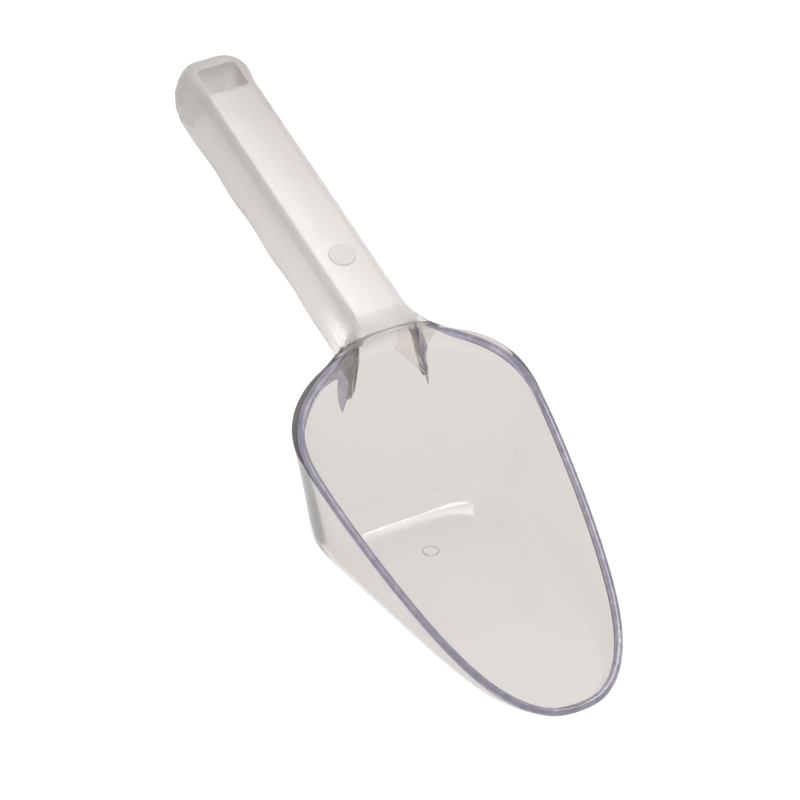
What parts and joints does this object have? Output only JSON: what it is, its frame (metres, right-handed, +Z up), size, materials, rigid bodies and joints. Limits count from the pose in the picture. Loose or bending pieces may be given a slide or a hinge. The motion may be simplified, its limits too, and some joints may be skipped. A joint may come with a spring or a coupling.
{
  "type": "ice scoop",
  "caption": "Clear moulded ice scoop with a deep round-cornered bowl, a sloping mouth with a thick edge and a frosted channel handle with a hanging window.",
  "frame": {"origin": "on the plane under the flat floor, midway between the nose and the end of the handle, on the centre plane", "axes": "+X from the handle towards the nose, +Z up from the flat floor, +Y to the side, with the scoop symmetric about Y = 0"},
  "size_m": [0.2259, 0.079, 0.0988],
  "materials": {
    "clear_polycarbonate": "clear water-white polycarbonate, polished in the mould",
    "edge_polycarbonate": "the same clear polycarbonate seen through its rounded edge, dark blue-violet",
    "frosted_polycarbonate": "the same polycarbonate with a fine frosted texture, milky"
  },
  "bodies": {
    "root": {"bowl_floor": "clear_polycarbonate", "bowl_back_wall": "clear_polycarbonate", "bowl_left_wall": "clear_polycarbonate", "bowl_right_wall": "clear_polycarbonate", "mouth_lip": "edge_polycarbonate", "neck_bridge": "frosted_polycarbonate", "neck_shoulder_left": "frosted_polycarbonate", "neck_shoulder_right": "frosted_polycarbonate", "gusset_left": "frosted_polycarbonate", "gusset_right": "frosted_polycarbonate", "handle_top": "frosted_polycarbonate", "handle_left_wall": "frosted_polycarbonate", "handle_right_wall": "frosted_polycarbonate", "handle_end": "frosted_polycarbonate", "handle_disc": "frosted_polycarbonate", "floor_disc": "clear_polycarbonate"}
  },
  "joints": []
}
